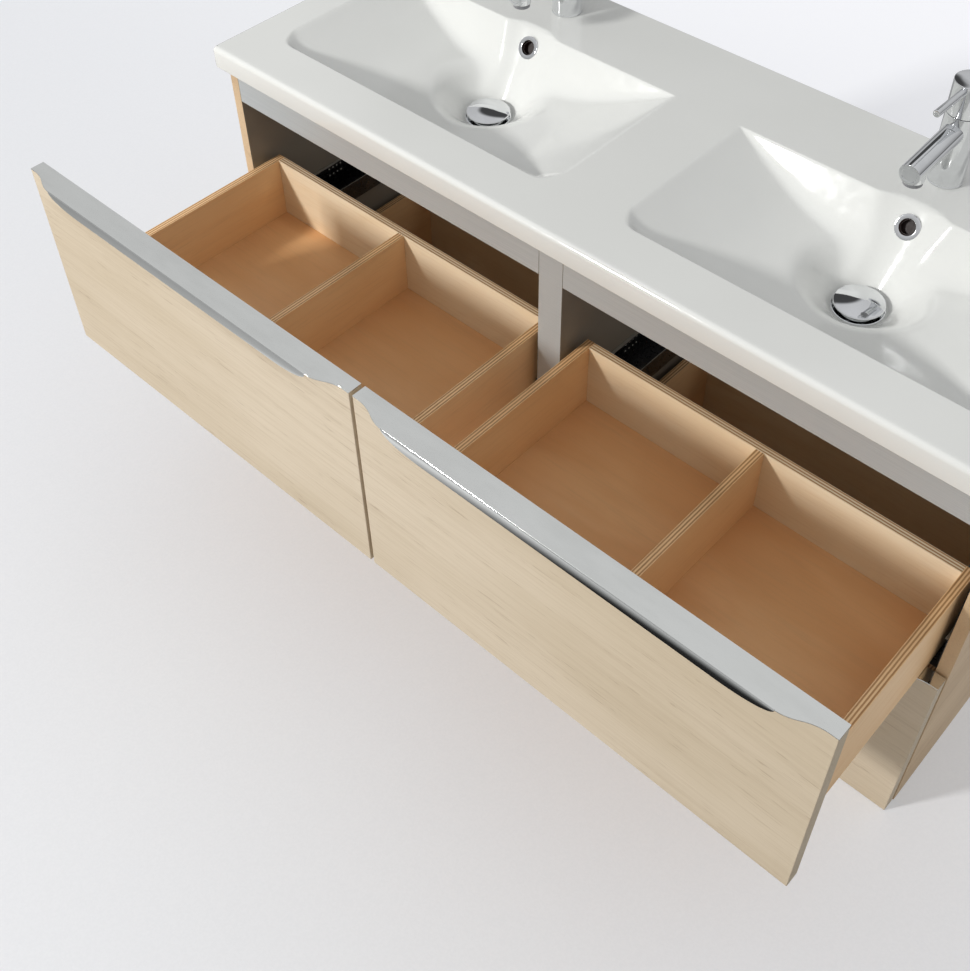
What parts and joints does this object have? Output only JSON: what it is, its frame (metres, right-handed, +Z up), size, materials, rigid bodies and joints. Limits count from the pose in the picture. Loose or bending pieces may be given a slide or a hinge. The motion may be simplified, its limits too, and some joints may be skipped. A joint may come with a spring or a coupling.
{
  "type": "wall-hung double bathroom vanity cabinet",
  "caption": "Wall-hung vanity cabinet with a double washbasin top, pin-lever mixer taps, oak-faced drawers on concealed runners and full-width metal grip edges.",
  "frame": {"origin": "centre of the four wall screws, on the wall plane", "axes": "+X to the right as seen from the front, +Y into the wall, +Z up"},
  "size_m": [1.21, 0.778, 0.7678],
  "materials": {
    "oak_laminate": "pale oak grain laminate, satin",
    "carcass_board": "dark taupe melamine",
    "rail_metal": "satin grey",
    "zinc_fitting": "zinc plated",
    "runner_steel": "dark zinc plated",
    "basin_ceramic": "glossy white glaze",
    "chrome": "polished chrome",
    "handle_chrome": "satin top, polished lip",
    "nut_plastic": "matte",
    "aerator_plastic": "matte mesh",
    "brass_nut": "machined",
    "birch_plywood": "clear lacquered birch plywood"
  },
  "bodies": {
    "cabinet": {"side_panel_left": "oak_laminate", "side_panel_right": "oak_laminate", "centre_divider": "carcass_board", "bottom_panel": "carcass_board", "front_rail_left": "rail_metal", "front_rail_right": "rail_metal", "back_rail_upper": "carcass_board", "back_rail_lower": "carcass_board", "wall_screw_plates": "zinc_fitting", "cam_fittings": "zinc_fitting", "runner_channels": "runner_steel", "washbasin_top": "basin_ceramic", "waste_body_left": "chrome", "waste_body_right": "chrome", "waste_nuts": "nut_plastic", "overflow_rings": "chrome", "tap_body_left": "chrome", "tap_body_right": "chrome", "tap_aerators": "aerator_plastic", "tap_mountings": "brass_nut"},
    "drawer_top_left": {"front_panel_top_left": "oak_laminate", "handle_profile_top_left": "handle_chrome", "box_side_left_top_left": "birch_plywood", "box_side_right_top_left": "birch_plywood", "box_back_top_left": "birch_plywood", "box_floor_top_left": "birch_plywood", "runner_drawer_top_left": "runner_steel", "box_partition_top_left": "birch_plywood"},
    "runner_middles_top_left": {"runner_middle_top_left": "runner_steel"},
    "drawer_top_right": {"front_panel_top_right": "oak_laminate", "handle_profile_top_right": "handle_chrome", "box_side_left_top_right": "birch_plywood", "box_side_right_top_right": "birch_plywood", "box_back_top_right": "birch_plywood", "box_floor_top_right": "birch_plywood", "runner_drawer_top_right": "runner_steel", "box_partition_top_right": "birch_plywood"},
    "runner_middles_top_right": {"runner_middle_top_right": "runner_steel"},
    "drawer_bottom_left": {"front_panel_bottom_left": "oak_laminate", "handle_profile_bottom_left": "handle_chrome", "box_side_left_bottom_left": "birch_plywood", "box_side_right_bottom_left": "birch_plywood", "box_back_bottom_left": "birch_plywood", "box_floor_bottom_left": "birch_plywood", "runner_drawer_bottom_left": "runner_steel"},
    "runner_middles_bottom_left": {"runner_middle_bottom_left": "runner_steel"},
    "drawer_bottom_right": {"front_panel_bottom_right": "oak_laminate", "handle_profile_bottom_right": "handle_chrome", "box_side_left_bottom_right": "birch_plywood", "box_side_right_bottom_right": "birch_plywood", "box_back_bottom_right": "birch_plywood", "box_floor_bottom_right": "birch_plywood", "runner_drawer_bottom_right": "runner_steel"},
    "runner_middles_bottom_right": {"runner_middle_bottom_right": "runner_steel"},
    "cartridge_left": {"tap_cartridge_left": "brass_nut"},
    "lever_left": {"tap_lever_left": "chrome"},
    "plug_left": {"waste_plug_left": "chrome"},
    "cartridge_right": {"tap_cartridge_right": "brass_nut"},
    "lever_right": {"tap_lever_right": "chrome"},
    "plug_right": {"waste_plug_right": "chrome"}
  },
  "joints": [
    {"name": "drawer_top_left_slide", "type": "slide", "parent": "cabinet", "child": "drawer_top_left", "axis": [0, -1, 0], "range_m": [-0.304, 0]},
    {"name": "runner_top_left_slide", "type": "slide", "parent": "cabinet", "child": "runner_middles_top_left", "axis": [0, -1, 0], "range_m": [-0.152, 0]},
    {"name": "drawer_top_right_slide", "type": "slide", "parent": "cabinet", "child": "drawer_top_right", "axis": [0, -1, 0], "range_m": [-0.304, 0]},
    {"name": "runner_top_right_slide", "type": "slide", "parent": "cabinet", "child": "runner_middles_top_right", "axis": [0, -1, 0], "range_m": [-0.152, 0]},
    {"name": "drawer_bottom_left_slide", "type": "slide", "parent": "cabinet", "child": "drawer_bottom_left", "axis": [0, -1, 0], "range_m": [0, 0.304]},
    {"name": "runner_bottom_left_slide", "type": "slide", "parent": "cabinet", "child": "runner_middles_bottom_left", "axis": [0, -1, 0], "range_m": [0, 0.152]},
    {"name": "drawer_bottom_right_slide", "type": "slide", "parent": "cabinet", "child": "drawer_bottom_right", "axis": [0, -1, 0], "range_m": [0, 0.304]},
    {"name": "runner_bottom_right_slide", "type": "slide", "parent": "cabinet", "child": "runner_middles_bottom_right", "axis": [0, -1, 0], "range_m": [0, 0.152]},
    {"name": "tap_left_swivel", "type": "hinge", "parent": "cabinet", "child": "cartridge_left", "pos_m": [-0.298, -0.062, 0.4225], "axis": [0, 0, 1], "range_deg": [-45, 45]},
    {"name": "tap_left_lift", "type": "hinge", "parent": "cartridge_left", "child": "lever_left", "pos_m": [-0.298, -0.062, 0.4225], "axis": [-1, 0, 0], "range_deg": [0, 20]},
    {"name": "plug_left_press", "type": "slide", "parent": "cabinet", "child": "plug_left", "axis": [0, 0, 1], "range_m": [-0.0047, 0]},
    {"name": "tap_right_swivel", "type": "hinge", "parent": "cabinet", "child": "cartridge_right", "pos_m": [0.298, -0.062, 0.4225], "axis": [0, 0, 1], "range_deg": [-45, 45]},
    {"name": "tap_right_lift", "type": "hinge", "parent": "cartridge_right", "child": "lever_right", "pos_m": [0.298, -0.062, 0.4225], "axis": [-1, 0, 0], "range_deg": [0, 20]},
    {"name": "plug_right_press", "type": "slide", "parent": "cabinet", "child": "plug_right", "axis": [0, 0, 1], "range_m": [-0.0047, 0]}
  ],
  "couplings": [
    {"joint": "runner_top_left_slide", "follows": "drawer_top_left_slide", "ratio": 0.5},
    {"joint": "runner_top_right_slide", "follows": "drawer_top_right_slide", "ratio": 0.5},
    {"joint": "runner_bottom_left_slide", "follows": "drawer_bottom_left_slide", "ratio": 0.5},
    {"joint": "runner_bottom_right_slide", "follows": "drawer_bottom_right_slide", "ratio": 0.5}
  ]
}
